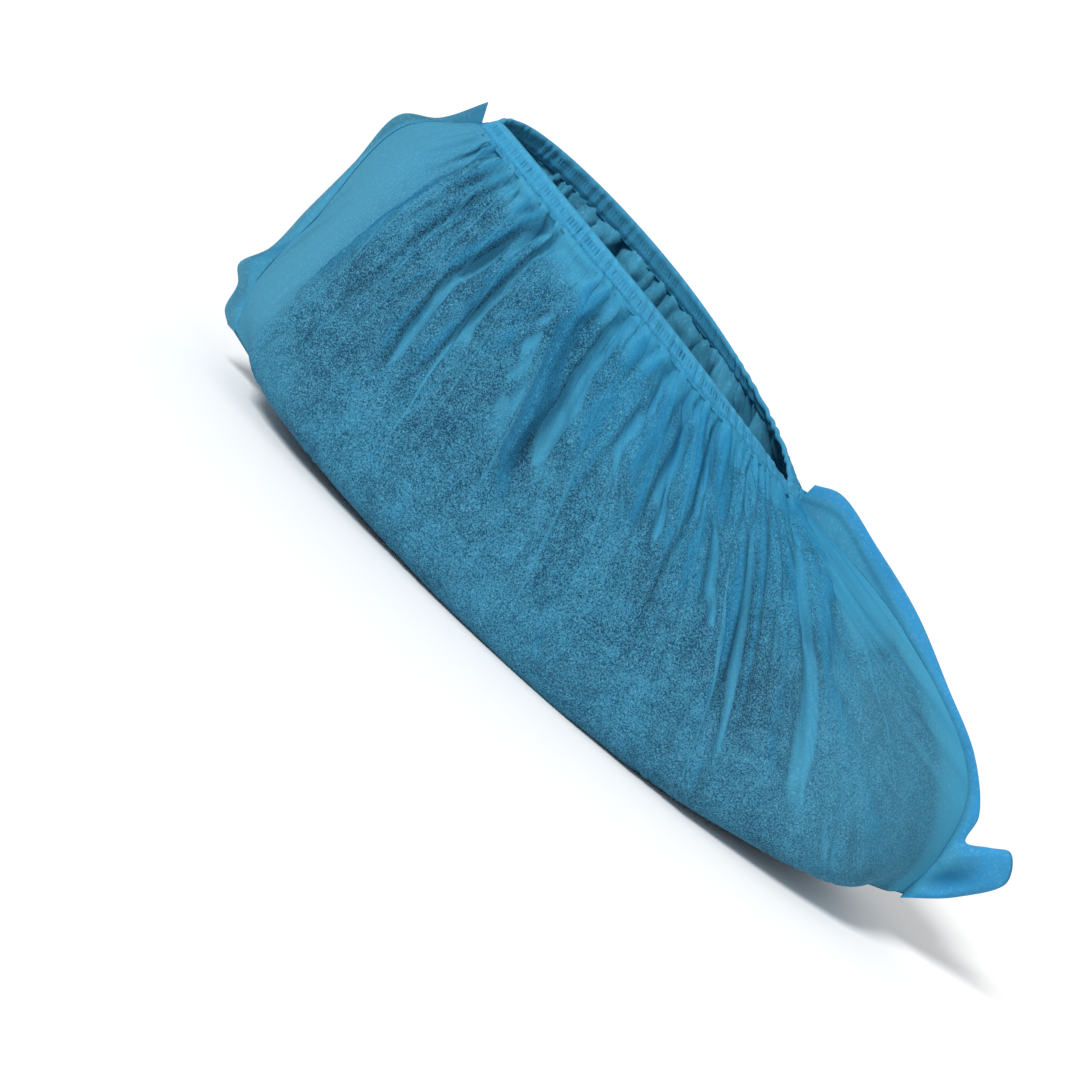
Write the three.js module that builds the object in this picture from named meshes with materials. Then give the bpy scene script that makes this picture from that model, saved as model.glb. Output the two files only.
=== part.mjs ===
// A disposable shoe cover of thin blue nonwoven, in the shape it takes when it is worn.
// One sheet is folded under the sole and welded to itself along the toe and the heel, and an elastic
// in a narrow hem gathers it round the foot opening.
// Millimetres. +X points to the toe, +Z points up, and the flat of the sole lies on z = 0.
import * as THREE from "three";

// Sheet and clearances
const WALL = 1.2;
const GAP = 0.3;
const SEAM_WALL_SHARE = 2.2;

// Mesh of one side panel
const COLUMNS = 60;
const ROWS = 15;
const STEP = 1e-3;

// Foot opening, measured along the edge where the body meets the hem
const MOUTH = { backX: -132, frontX: 28, halfWidth: 41, backZ: 120, frontZ: 94.5, crown: 6.5 };

// Hem casing: ruches are the small ribs that the elastic draws up
const HEM = { height: 6, thickness: 2.2, ruche: 0.35, lift: 0.45, sides: 6 };

// The panel's shape: nine sections at equal steps from the heel seam to the toe seam.
// Each level gives [x, half-width, z]; the sole level lies on the middle line and gives [x, z].
const SECTIONS = [
  { up: [-151.5, 0, 103], side: [-155, 0, 58], foot: [-157, 0, 29], sole: [-152, 12] },
  { up: [-135, 18, 97], side: [-138, 21, 52], foot: [-139, 22, 14.5], sole: [-127, 5] },
  { up: [-112, 31, 93], side: [-111, 34, 48], foot: [-109, 36, 9.5], sole: [-96, 2] },
  { up: [-83, 39, 90], side: [-76, 41, 45], foot: [-71, 43, 5.5], sole: [-60, 0] },
  { up: [-47, 43, 87], side: [-33, 47, 42], foot: [-24, 49, 2.5], sole: [-18, 0] },
  { up: [-8, 43, 83], side: [13, 50, 40], foot: [24, 51, 2.5], sole: [26, 0] },
  { up: [28, 38, 80], side: [59, 48, 39], foot: [71, 48, 7], sole: [70, 0.5] },
  { up: [58, 25, 80], side: [106, 37, 43], foot: [121, 34, 14.5], sole: [121, 7] },
  { up: [80, 0, 86.5], side: [133, 0, 61], foot: [142.5, 0, 36], sole: [142, 17] },
];

// Main folds of a panel: at is their place along the hem, lean how far they run toward the toe,
// reach how far they run toward the sole, half how wide they are; a negative depth is a valley.
const FOLDS = [
  { at: 0.17, lean: -0.02, reach: 0.62, depth: -2.5, half: 0.022 },
  { at: 0.31, lean: -0.01, reach: 0.5, depth: -2.2, half: 0.022 },
  { at: 0.43, lean: -0.02, reach: 0.66, depth: -4.5, half: 0.026 },
  { at: 0.53, lean: 0.01, reach: 0.5, depth: -2, half: 0.02 },
  { at: 0.61, lean: 0.01, reach: 0.58, depth: 2.8, half: 0.022 },
  { at: 0.68, lean: 0.02, reach: 0.62, depth: -3.2, half: 0.022 },
  { at: 0.74, lean: 0.02, reach: 0.75, depth: 3, half: 0.022 },
  { at: 0.81, lean: 0.03, reach: 0.72, depth: -3.2, half: 0.022 },
  { at: 0.88, lean: 0.02, reach: 0.75, depth: 3.6, half: 0.024 },
  { at: 0.95, lean: 0.0, reach: 0.6, depth: -2, half: 0.02 },
];
const FAR_FOLD_SHIFT = 0.03;

// Folds and gathers die out towards the two seams: a higher power calms a wider strip there
const SEAM_CALM_POWER = 0.5;

// Fine gathers just below the hem
const GATHERS = { count: 15, depth: 1.9, rimShare: 0.3, fullAt: 0.09, goneAt: 0.36 };

// Seam fins: the two welded layers, nearly flat in the middle plane; rimClearance keeps them off the hem
const FIN = { thickness: 1.6, rimClearance: 1.4, wave: 0.9, waves: 5, stations: 3 * ROWS, corners: 4 };

// Free outlines of the fins; drop is a point's place along the seam, from the hem (0) to the sole (1)
const TOE_FIN_EDGE = [
  { drop: 0, x: 28.5, z: 102.5 },
  { drop: 0.07, x: 37, z: 105.6 },
  { drop: 0.15, x: 58.3, z: 100.3 },
  { drop: 0.245, x: 82, z: 92.3 },
  { drop: 0.345, x: 105.9, z: 80.5 },
  { drop: 0.455, x: 128, z: 69 },
  { drop: 0.575, x: 143, z: 54 },
  { drop: 0.685, x: 145.5, z: 44.6 },
  { drop: 0.74, x: 152.5, z: 48.8 },
  { drop: 0.79, x: 158.6, z: 52.2 },
  { drop: 0.86, x: 164.9, z: 43 },
  { drop: 0.93, x: 156, z: 28.3 },
  { drop: 1, x: 142, z: 15.5 },
];
const HEEL_FIN_EDGE = [
  { drop: 0, x: -135, z: 127.3 },
  { drop: 0.11, x: -144, z: 112.8 },
  { drop: 0.22, x: -154.8, z: 104.9 },
  { drop: 0.34, x: -156.6, z: 82 },
  { drop: 0.45, x: -158.8, z: 60 },
  { drop: 0.56, x: -160.2, z: 42 },
  { drop: 0.67, x: -164.8, z: 31 },
  { drop: 0.78, x: -160.8, z: 25.5 },
  { drop: 0.89, x: -159, z: 16 },
  { drop: 1, x: -155, z: 12.2 },
];

// Cloth colours
const CLOTH = { color: 0x4a92b4, roughness: 0.85, metalness: 0 };
const WELD = { color: 0x4fa6d2, roughness: 0.7, metalness: 0 };

const LEVEL_CURVES = ["up", "side", "foot"].map(
  (level) => new THREE.CatmullRomCurve3(SECTIONS.map((row) => new THREE.Vector3(...row[level]))),
);
const SOLE_CURVE = new THREE.CatmullRomCurve3(
  SECTIONS.map(({ sole: [x, z] }) => new THREE.Vector3(x, 0, z)),
);

/** Point of the rim where the body ends below the hem, on the +Y side. */
function rimPoint(share) {
  const turn = Math.PI * share;
  const middle = (MOUTH.backX + MOUTH.frontX) / 2;
  const reach = (MOUTH.frontX - MOUTH.backX) / 2;
  const chord = THREE.MathUtils.lerp(MOUTH.backZ, MOUTH.frontZ, (1 - Math.cos(turn)) / 2);
  return new THREE.Vector3(
    middle - reach * Math.cos(turn),
    MOUTH.halfWidth * Math.sin(turn),
    chord + MOUTH.crown * Math.sin(turn),
  );
}

/** Point of the +Y panel before it is folded; share runs heel to toe, drop runs hem to sole. */
function smoothPoint(share, drop) {
  const levels = [rimPoint(share), ...LEVEL_CURVES.map((curve) => curve.getPoint(share))];
  levels.push(SOLE_CURVE.getPoint(share));
  return new THREE.CatmullRomCurve3(levels).getPoint(drop);
}

/** Outward normal of the +Y panel before it is folded. */
function smoothNormal(share, drop) {
  const s = THREE.MathUtils.clamp(share, STEP, 1 - STEP);
  const d = THREE.MathUtils.clamp(drop, STEP, 1 - STEP);
  const along = smoothPoint(s + STEP, d).sub(smoothPoint(s - STEP, d));
  const down = smoothPoint(s, d + STEP).sub(smoothPoint(s, d - STEP));
  return along.cross(down).normalize();
}

/** Height of the fine gathers at a place on the panel. */
function gatherHeight(share, drop) {
  const { count, depth, rimShare, fullAt, goneAt } = GATHERS;
  const rise = THREE.MathUtils.lerp(rimShare, 1, THREE.MathUtils.smoothstep(drop, 0, fullAt));
  const fade = 1 - THREE.MathUtils.smoothstep(drop, fullAt, goneAt);
  return depth * rise * fade * Math.sin(2 * Math.PI * count * share);
}

/** Height of the main folds at a place on the panel. */
function foldHeight(share, drop) {
  let height = 0;
  for (const { at, lean, reach, depth, half } of FOLDS) {
    const off = (share - at - lean * drop) / half;
    const start = THREE.MathUtils.smoothstep(drop, 0, GATHERS.fullAt);
    const end = 1 - THREE.MathUtils.smoothstep(drop, reach / 2, reach);
    height += depth * Math.exp(-off * off) * start * end;
  }
  return height;
}

/** Point of a folded panel; side is +1 or -1 and sets the sign of y. */
function panelPoint(share, drop, side) {
  const shifted = side > 0 ? share + FAR_FOLD_SHIFT : share;
  const calm = Math.sin(Math.PI * share) ** SEAM_CALM_POWER;
  const height = calm * (gatherHeight(share, drop) + foldHeight(shifted, drop));
  const point = smoothPoint(share, drop).addScaledVector(smoothNormal(share, drop), height);
  return new THREE.Vector3(point.x, side * Math.max(point.y, 0), Math.max(point.z, 0));
}

/** A mesh from points and faces, with one named material. */
function makeMesh(name, points, faces, look) {
  const geometry = new THREE.BufferGeometry();
  const coordinates = points.flatMap((point) => point.toArray());
  geometry.setAttribute("position", new THREE.Float32BufferAttribute(coordinates, 3));
  geometry.setIndex(faces.flat());
  geometry.computeVertexNormals();
  const mesh = new THREE.Mesh(geometry, new THREE.MeshStandardMaterial(look));
  mesh.name = name;
  return mesh;
}

/** Outer skin of the body: both panels, joined along the two seams and the middle of the sole. */
function outerSkin() {
  const points = [];
  const faces = [];
  const index = new Map();
  const place = (side, column, row) => {
    const seam = column === 0 || column === COLUMNS;
    const key = seam || row === ROWS ? `${column},${row}` : `${column},${row},${side}`;
    if (!index.has(key)) {
      const point = panelPoint(column / COLUMNS, row / ROWS, side);
      if (seam || row === ROWS) point.y = 0;
      index.set(key, points.push(point) - 1);
    }
    return index.get(key);
  };
  for (const side of [1, -1]) {
    for (let column = 0; column < COLUMNS; column += 1) {
      for (let row = 0; row < ROWS; row += 1) {
        const a = place(side, column, row);
        const b = place(side, column + 1, row);
        const c = place(side, column + 1, row + 1);
        const d = place(side, column, row + 1);
        faces.push(...(side > 0 ? [[a, b, c], [a, c, d]] : [[a, c, b], [a, d, c]]));
      }
    }
  }
  const rim = [];
  for (let column = 0; column < COLUMNS; column += 1) rim.push(place(1, column, 0));
  for (let column = COLUMNS; column > 0; column -= 1) rim.push(place(-1, column, 0));
  return { points, faces, rim };
}

/** Vertex normals of a skin, from the faces round each point. */
function skinNormals({ points, faces }) {
  const normals = points.map(() => new THREE.Vector3());
  for (const [a, b, c] of faces) {
    const normal = points[b].clone().sub(points[a]).cross(points[c].clone().sub(points[a]));
    for (const corner of [a, b, c]) normals[corner].add(normal);
  }
  return normals.map((normal) => normal.normalize());
}

/** The sheet itself: outer skin, inner skin one wall further in, and the rim between them. */
function coverBody() {
  const skin = outerSkin();
  const normals = skinNormals(skin);
  const count = skin.points.length;
  const inner = skin.points.map((point, i) => {
    const onSole = normals[i].z < 0 && Math.abs(normals[i].x) < Math.abs(normals[i].z) / 2;
    const onSeam = point.y === 0 && !onSole;
    return point.clone().addScaledVector(normals[i], -WALL * (onSeam ? SEAM_WALL_SHARE : 1));
  });
  const faces = skin.faces.concat(skin.faces.map(([a, b, c]) => [a + count, c + count, b + count]));
  skin.rim.forEach((a, i) => {
    const b = skin.rim[(i + 1) % skin.rim.length];
    faces.push([a, a + count, b + count], [a, b + count, b]);
  });
  return makeMesh("cover_body", skin.points.concat(inner), faces, CLOTH);
}

/** The ruched casing round the opening, standing just above the rim. */
function elasticHem() {
  const points = [];
  const faces = [];
  const total = 2 * COLUMNS;
  for (let column = 0; column < total; column += 1) {
    const side = column <= COLUMNS ? 1 : -1;
    const share = (side > 0 ? column : total - column) / COLUMNS;
    const out = smoothNormal(share, 0);
    const up = smoothPoint(share, 0).sub(smoothPoint(share, STEP)).normalize();
    const onSeam = share === 0 || share === 1;
    if (onSeam) {
      out.y = 0;
      up.y = 0;
    }
    const ruche = column % 2 === 0 ? HEM.ruche : -HEM.ruche;
    const half = HEM.thickness / 2;
    for (let corner = 0; corner < HEM.sides; corner += 1) {
      const turn = (2 * Math.PI * (corner + 0.5)) / HEM.sides;
      const outward = half * Math.cos(turn) + ruche - WALL / 2;
      const upward = HEM.lift + (HEM.height / 2) * (1 + Math.sin(turn));
      const point = rimPoint(share).addScaledVector(out, outward).addScaledVector(up, upward);
      points.push(new THREE.Vector3(point.x, side * point.y, point.z));
    }
  }
  for (let column = 0; column < total; column += 1) {
    for (let corner = 0; corner < HEM.sides; corner += 1) {
      const next = ((column + 1) % total) * HEM.sides;
      const a = column * HEM.sides + corner;
      const b = column * HEM.sides + ((corner + 1) % HEM.sides);
      const c = next + ((corner + 1) % HEM.sides);
      const d = next + corner;
      faces.push([a, b, c], [a, c, d]);
    }
  }
  return makeMesh("elastic_hem", points, faces, WELD);
}

/** Point on the straight edges between the body's rows, along the seam at share 0 or 1. */
function ridgePoint(share, drop) {
  const row = Math.min(Math.floor(drop * ROWS), ROWS - 1);
  const above = smoothPoint(share, row / ROWS);
  const below = smoothPoint(share, (row + 1) / ROWS);
  return above.lerp(below, drop * ROWS - row);
}

/** Place on a fin's outline, from 0 to 1, that belongs to a drop on its seam. */
function outlinePlace(edge, drop) {
  const after = Math.max(edge.findIndex((point) => point.drop >= drop), 1);
  const before = edge[after - 1];
  const part = (drop - before.drop) / (edge[after].drop - before.drop);
  return (after - 1 + part) / (edge.length - 1);
}

/** A seam fin: share 0 is the heel seam and 1 the toe seam; edge is its free outline, top to bottom. */
function seamFin(name, share, edge) {
  const outward = share === 1 ? 1 : -1;
  const edgeCurve = new THREE.CatmullRomCurve3(edge.map(({ x, z }) => new THREE.Vector3(x, 0, z)));
  const seam = [];
  for (let station = 0; station <= FIN.stations; station += 1) {
    seam.push(ridgePoint(share, station / FIN.stations));
  }
  const points = [];
  const faces = [];
  const half = FIN.thickness / 2;
  seam.forEach((point, station) => {
    const before = seam[Math.max(station - 1, 0)];
    const after = seam[Math.min(station + 1, FIN.stations)];
    const run = after.clone().sub(before).normalize();
    const away = new THREE.Vector3(-run.z, 0, run.x).multiplyScalar(outward);
    const root = point.clone().addScaledVector(away, station === 0 ? FIN.rimClearance : GAP);
    const free = edgeCurve.getPoint(outlinePlace(edge, station / FIN.stations));
    const wave = FIN.wave * Math.sin((2 * Math.PI * FIN.waves * station) / FIN.stations);
    points.push(
      new THREE.Vector3(root.x, half, root.z),
      new THREE.Vector3(free.x, half + wave, free.z),
      new THREE.Vector3(free.x, wave - half, free.z),
      new THREE.Vector3(root.x, -half, root.z),
    );
  });
  for (let station = 0; station < FIN.stations; station += 1) {
    for (let corner = 0; corner < FIN.corners; corner += 1) {
      const a = station * FIN.corners + corner;
      const b = station * FIN.corners + ((corner + 1) % FIN.corners);
      faces.push([a, b, b + FIN.corners], [a, b + FIN.corners, a + FIN.corners]);
    }
  }
  const last = FIN.stations * FIN.corners;
  faces.push([0, 2, 1], [0, 3, 2], [last, last + 1, last + 2], [last, last + 2, last + 3]);
  const turned = outward > 0 ? faces : faces.map(([a, b, c]) => [a, c, b]);
  return makeMesh(name, points, turned, WELD);
}

const shoeCover = new THREE.Group();
shoeCover.name = "shoe_cover";
shoeCover.add(
  coverBody(),
  elasticHem(),
  seamFin("toe_seam_fin", 1, TOE_FIN_EDGE),
  seamFin("heel_seam_fin", 0, HEEL_FIN_EDGE),
);

export default shoeCover;
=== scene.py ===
import math
from collections import namedtuple
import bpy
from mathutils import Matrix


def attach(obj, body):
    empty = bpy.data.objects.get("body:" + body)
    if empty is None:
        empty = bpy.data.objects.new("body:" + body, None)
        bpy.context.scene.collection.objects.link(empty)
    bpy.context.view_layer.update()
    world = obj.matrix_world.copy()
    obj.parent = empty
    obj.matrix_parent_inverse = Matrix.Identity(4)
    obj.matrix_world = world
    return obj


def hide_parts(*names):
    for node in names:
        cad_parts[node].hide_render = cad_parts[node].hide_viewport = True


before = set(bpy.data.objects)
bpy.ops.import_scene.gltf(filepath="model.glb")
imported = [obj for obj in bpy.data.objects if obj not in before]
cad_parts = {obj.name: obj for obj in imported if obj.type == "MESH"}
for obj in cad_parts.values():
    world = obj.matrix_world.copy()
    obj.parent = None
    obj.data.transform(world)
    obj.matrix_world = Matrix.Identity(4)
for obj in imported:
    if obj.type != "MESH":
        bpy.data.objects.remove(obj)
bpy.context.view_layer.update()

from types import SimpleNamespace

import bpy
import numpy as np
from bpy.props import FloatProperty, FloatVectorProperty, IntProperty, PointerProperty
from mathutils import Matrix, Vector

bl_info = {
    "name": "Disposable Shoe Cover",
    "version": (1, 0, 0),
    "blender": (4, 5, 0),
    "location": "View3D > Sidebar > Shoe Cover",
    "description": "A worn nonwoven shoe cover with a gathered elastic hem and welded seams",
    "category": "Object",
}

MM = 0.001
TINY = 1e-9
LEAST_KNOT = 1e-16
SEED = 11

# The worn form in millimetres.
# Shares run from the heel seam (0) to the toe seam (1), drops from the hem (0) to the middle of the sole (1).
MOUTH = {"back_x": -132, "front_x": 28, "half_width": 41, "back_z": 120, "front_z": 94.5, "crown": 6.5}
LEVELS = ("up", "side", "foot", "sole")
SECTIONS = (
    {"up": (-151.5, 0, 103), "side": (-155, 0, 58), "foot": (-157, 0, 29), "sole": (-152, 0, 12)},
    {"up": (-135, 18, 97), "side": (-138, 21, 52), "foot": (-139, 22, 14.5), "sole": (-127, 0, 5)},
    {"up": (-112, 31, 93), "side": (-111, 34, 48), "foot": (-109, 36, 9.5), "sole": (-96, 0, 2)},
    {"up": (-83, 39, 90), "side": (-76, 41, 45), "foot": (-71, 43, 5.5), "sole": (-60, 0, 0)},
    {"up": (-47, 43, 87), "side": (-33, 47, 42), "foot": (-24, 49, 2.5), "sole": (-18, 0, 0)},
    {"up": (-8, 43, 83), "side": (13, 50, 40), "foot": (24, 51, 2.5), "sole": (26, 0, 0)},
    {"up": (28, 38, 80), "side": (59, 48, 39), "foot": (71, 48, 7), "sole": (70, 0, 0.5)},
    {"up": (58, 25, 80), "side": (106, 37, 43), "foot": (121, 33.3, 16.5), "sole": (121, 0, 7)},
    {"up": (80, 0, 86.5), "side": (133, 0, 61), "foot": (142.5, 0, 36), "sole": (142, 0, 17)},
)
COLUMNS = 260
ROWS = 84
DENSE_ROWS = 800

# Flat webs of cloth run from a crease to each seam; these are the shares of the creases at five drops.
CREASE_DROPS = (0, 0.08, 0.4, 0.75, 1)
HEEL_CREASE = (0.16, 0.155, 0.13, 0.1, 0.06)
TOE_CREASE = (0.9, 0.9, 0.935, 0.975, 0.99)
WEB_FLATNESS = 0.9
WEB_CUSP = 0.6
WEB_TOP = 0.1
WEB_END = (0.66, 0.88)
WEB_SMOOTH = 0.85
WEB_SMOOTH_DROPS = (0.04, 0.16)
HEEL_WEB_FADE = (-0.007, 0.003)
# Painted shade on the heel web, growing towards its crease: its strength and the span over which it grows.
# The same field sets how calm the web is.
HEEL_WEB_SHADE = 0.5
HEEL_SHADE_SPAN = (0.25, 0.95)
TOE_WEB_SHARES = (0.872, 0.905)
TOE_WEB_DROPS = (0.27, 0.44)
TOE_SEAM_SHARES = (0.945, 0.99)

# A fold runs down the panel through three shares, between two drops.
# Its height stands out of the panel, with a flank towards the heel (rise) and one towards the toe (fall).
Fold = namedtuple("Fold", "top middle end start reach height rise fall")
NEAR_FOLDS = (
    Fold(0.155, 0.130, 0.100, 0.05, 0.74, -2.4, 2.6, 1.6),
    Fold(0.182, 0.176, 0.168, 0.46, 0.72, 1.0, 3.0, 2.0),
    Fold(0.312, 0.276, 0.268, 0.00, 0.56, -1.8, 6.0, 2.0),
    Fold(0.325, 0.286, 0.280, 0.00, 0.62, 2.2, 2.0, 7.0),
    Fold(0.325, 0.310, 0.293, 0.24, 0.40, 1.0, 2.0, 3.5),
    Fold(0.352, 0.345, 0.338, 0.00, 0.14, 1.4, 2.5, 3.0),
    Fold(0.445, 0.452, 0.470, 0.00, 0.54, -4.2, 6.0, 3.0),
    Fold(0.463, 0.472, 0.486, 0.04, 0.46, 1.4, 2.5, 6.0),
    Fold(0.560, 0.577, 0.563, 0.07, 0.30, -2.2, 5.0, 2.0),
    Fold(0.617, 0.622, 0.608, 0.00, 0.36, 3.4, 9.0, 1.8),
    Fold(0.666, 0.692, 0.722, 0.00, 0.50, 3.0, 5.0, 1.8),
    Fold(0.738, 0.727, 0.732, 0.14, 0.54, -2.2, 3.5, 3.0),
    Fold(0.756, 0.741, 0.747, 0.00, 0.76, 3.0, 4.0, 2.5),
    Fold(0.815, 0.800, 0.762, 0.00, 0.55, 2.0, 3.0, 2.0),
    Fold(0.805, 0.807, 0.811, 0.54, 0.66, 0.8, 3.0, 2.5),
    Fold(0.885, 0.838, 0.825, 0.00, 0.74, 4.2, 10.0, 1.8),
    Fold(0.905, 0.872, 0.842, 0.05, 0.42, -2.4, 2.0, 5.0),
    Fold(0.856, 0.863, 0.872, 0.34, 0.50, 1.0, 2.0, 3.0),
)
FAR_SHIFT = 0.028
FAR_HEIGHT = 0.85
FOLD_WANDER = 0.0035
WANDER_TURNS = (1.2, 2.4)
FOLD_GAIN = 1.5
FOLD_PEAK = 1.3
FOLD_PLATEAU = 1.3
HEM_START = 0.06
FULL_HEIGHT_DROP = 0.05
END_FADE = 0.4

# Creases scattered over a panel: short ones all over it, and long ones that fan down from the hem.
Creases = namedtuple("Creases", "count starts spans heights flanks lean")
CREASE_KINDS = (
    Creases(34, (0.06, 0.6), (0.1, 0.26), (0.4, 1.0), (1.8, 4.5), 0.035),
    Creases(26, (0.02, 0.12), (0.22, 0.5), (0.6, 1.4), (1.6, 3.4), 0.02),
)
CREASE_SHARES = (0.17, 0.89)
CREASE_BOW = 0.006

# How the hem's gathers vary, as shares of the panel or of their own size.
GATHER_JITTER = 0.3
GATHER_HEIGHTS = (0.5, 1.2)
GATHER_WIDTHS = (0.45, 0.7)
GATHER_REACHES = ((0.08, 0.16), (0.34, 0.6), (0.16, 0.32))
GATHER_ROUND = 1.5
GATHER_DRIFT = 0.05
GATHER_AT_HEM = 0.04
GATHER_FULL_DROP = 0.03
GATHER_FADE = 0.8
GATHER_SPREAD = 2.2
GATHER_SETTLE = 0.7

# Small ruches between the gathers: how many and how high they are against the gathers, and their reach.
RUCHE_SHARE = 1.55
RUCHE_HEIGHT = 0.5
RUCHE_REACHES = ((0.07, 0.13), (0.12, 0.24), (0.05, 0.1))

# Fine pleats of the finish, one to each strip of a panel: long ones all over it and short ones under the hem.
# The long ones get a painted highlight, and the creases on the toe sides of both get painted shade.
# The columns are the number of strips, the drops that hold the middles of the pleats, how far they reach up
# and down, their lean and bend, and their half width and the width of their edges as shares of the strip.
Pleats = namedtuple("Pleats", "strips middles reaches lean bend half edge")
PLEATS = Pleats(26, (0.02, 0.42), (0.2, 0.45), 0.5, 0.35, 0.07, 0.03)
HEM_PLEATS = Pleats(54, (0.0, 0.06), (0.1, 0.26), 0.9, 0.5, 0.16, 0.07)
PLEAT_MARGIN = 0.35
PLEAT_FAINTEST = 0.4
PLEAT_CREASE = 0.35

# The sharp line of the heel crease, drawn as painted shade: its share at the hem, its lean with the drop, its
# width, the place of the light lip beside it, drawn as a painted highlight, and where both fade.
HeelLine = namedtuple("HeelLine", "share lean width lip fade")
HEEL_LINE = HeelLine(0.163, 0.085, 0.0045, 0.009, (0.35, 0.62))

# Zones where the cloth is drawn lighter and less speckled, as cloth that stands free of the foot, or darker
# where
# it clings to it at the heel: how far, from 0 to 1, and the shares and drops over which they grow.
Zone = namedtuple("Zone", "free shares drops")
ALL_OVER = (-1, 0)
FREE_ZONES = {
    "heel foot": Zone(0.3, (0.29, 0.17), (0.56, 0.74)),
    # Partly cloth that stands free over the toe, partly painted light that makes the toe end lighter.
    "toe": Zone(0.35, (0.7, 0.9), ALL_OVER),
    "hem": Zone(0.85, ALL_OVER, (0.11, 0.015)),
    # Painted light: the lower cloth, which lies in shade, is painted lighter.
    "low painted light": Zone(0.16, ALL_OVER, (0.42, 0.62)),
    "toe gathers": Zone(0.3, (0.42, 0.58), (0.5, 0.12)),
}
HEEL_CLING = Zone(0.15, (0.36, 0.22), (0.75, 0.5))
HEEL_SIDE_FREE = 0.35
HEEL_SIDE_WIDTH = 0.06

# The cloth is calm beside the seams, as a share of the panel, and near the floor, in millimetres.
SEAM_CALM = 0.035
SOLE_CALM_HEIGHT = 14

# How spare cloth settles into the worn form: how far a point may move, in millimetres, the frames it takes,
# where the cloth is cut wider, and how firmly it is held.
MOST_MOVE = 6
SIM_FRAMES = 24
SIM_WORN_FRAME = 14
HEM_SLACK = 9
HEM_SLACK_DROP = 0.16
HEM_EVENNESS = 0.7
WEB_CALM = 0.6
SETTLED_SHARE = 0.4
RELAX_SHARE = 0.4
PATCH_WAVES = 7
PATCH_CONTRAST = 0.9
PATCH_ACROSS = (2, 9)
PATCH_DOWN = (-2, 2)
BROAD_COLUMNS = 25
PIN_FIELD = 0.25
PIN_HEM = 0.3
PIN_HEM_DROP = 0.1
PIN_FLOOR = 0.55
PIN_FLOOR_HEIGHT = 20
CLOTH_SETTINGS = {
    "quality": 6,
    "mass": 0.05,
    "tension_stiffness": 20,
    "compression_stiffness": 20,
    "shear_stiffness": 8,
    "bending_stiffness": 0.3,
    "air_damping": 2,
    "vertex_group_mass": "held",
    "pin_stiffness": 1,
}

# Free outlines of the seam fins, x and z in millimetres; drop is the place on the seam of each point.
FinPoint = namedtuple("FinPoint", "drop x z")
TOE_EDGE = (
    FinPoint(0.000, 28.5, 102.5),
    FinPoint(0.070, 37.0, 105.6),
    FinPoint(0.150, 58.3, 100.3),
    FinPoint(0.245, 82.0, 92.3),
    FinPoint(0.345, 105.9, 80.5),
    FinPoint(0.455, 128.0, 69.0),
    FinPoint(0.575, 143.0, 54.0),
    FinPoint(0.685, 145.5, 44.6),
    FinPoint(0.740, 152.5, 48.8),
    FinPoint(0.790, 158.6, 52.2),
    FinPoint(0.860, 164.9, 43.0),
    FinPoint(0.930, 156.0, 28.3),
    FinPoint(1.000, 142.0, 15.5),
)
HEEL_EDGE = (
    FinPoint(0.00, -135.0, 127.3),
    FinPoint(0.11, -144.0, 112.8),
    FinPoint(0.22, -154.8, 104.9),
    FinPoint(0.34, -156.6, 82.0),
    FinPoint(0.45, -158.8, 60.0),
    FinPoint(0.56, -160.2, 42.0),
    FinPoint(0.67, -164.8, 31.0),
    FinPoint(0.78, -160.8, 25.5),
    FinPoint(0.89, -159.0, 16.0),
    FinPoint(1.00, -155.0, 12.2),
)
FIN_STATIONS = 300
FIN_LANES = 24
FIN_ROOT_INSET = 0.6
FIN_WAVE_LENGTH = 9
FIN_WAVE_DRIFT = 23
FIN_WAVE_SWING = 1.3
FIN_WAVE_START = 0.05
FIN_WAVE_CURL = 1.5
FIN_ROUND = 6

# The free corner of the toe fin is a flat pouch: where it begins along the fin, and how far each side swells.
EAR_START = 0.69
EAR_FULL = 0.78
EAR_END = 0.94
EAR_SWELL = 2.4

# The weld runs along the free edge of a fin as a band, with a line of painted shade on its inner side, in
# millimetres.
WELD_BAND = 6.5
EAR_BAND = 18
WELD_LINE = 1.3
WELD_LINE_SHADE = 0.42
HEEL_BAND = 6

# Folded stretches of the heel fin: their place and length along it, and how strongly they are painted with
# shade.
FinFold = namedtuple("FinFold", "along length shade")
HEEL_FOLDS = (FinFold(0.05, 0.08, 0.4), FinFold(0.6, 0.035, 0.3))

# The pouch is pinched in its middle: the place and spread of the pinch along and across it, and its shade.
Pinch = namedtuple("Pinch", "along across length width shade")
EAR_PINCH = Pinch(0.865, 0.32, 0.055, 0.32, 0.8)

# The hem, in millimetres, and the steps in which it is made.
HEM_STATIONS = 1600
HEM_LANES = 17
HEM_OVERLAP = 1.6
HEM_INSET = 0.6
HEM_FOOT = 0.6
HEM_FLAT = 0.72
HEM_ROUND = 4
HEM_ROLL = 1.1
HEM_RIPPLE = 0.3
HEM_RIPPLE_LENGTH = 5.5
HEM_RIPPLE_DRIFT = 2
COURSE_STEPS = 4000
RIM_STEP = 1e-3

# Rows of small pleats that the elastic draws into the hem: millimetres above the rim, and strength.
TickRow = namedtuple("TickRow", "low high strength")
TICK_ROWS = (TickRow(1.5, 4.2, 1.0), TickRow(-1.0, 0.8, 0.5))
TICK_EDGE = 0.5
TICK_JITTER = 0.22
TICK_SLANT = 0.5
TICK_SWELLS = 9
TICK_MEAN = 0.75
TICK_SWELL = 0.3
TICK_LEAST = 0.35
SWELL_FIRST = 3
SWELL_STEP = 4
TICK_STRENGTHS = (0.25, 1.1)
TICK_SHADE = 0.75

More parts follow.
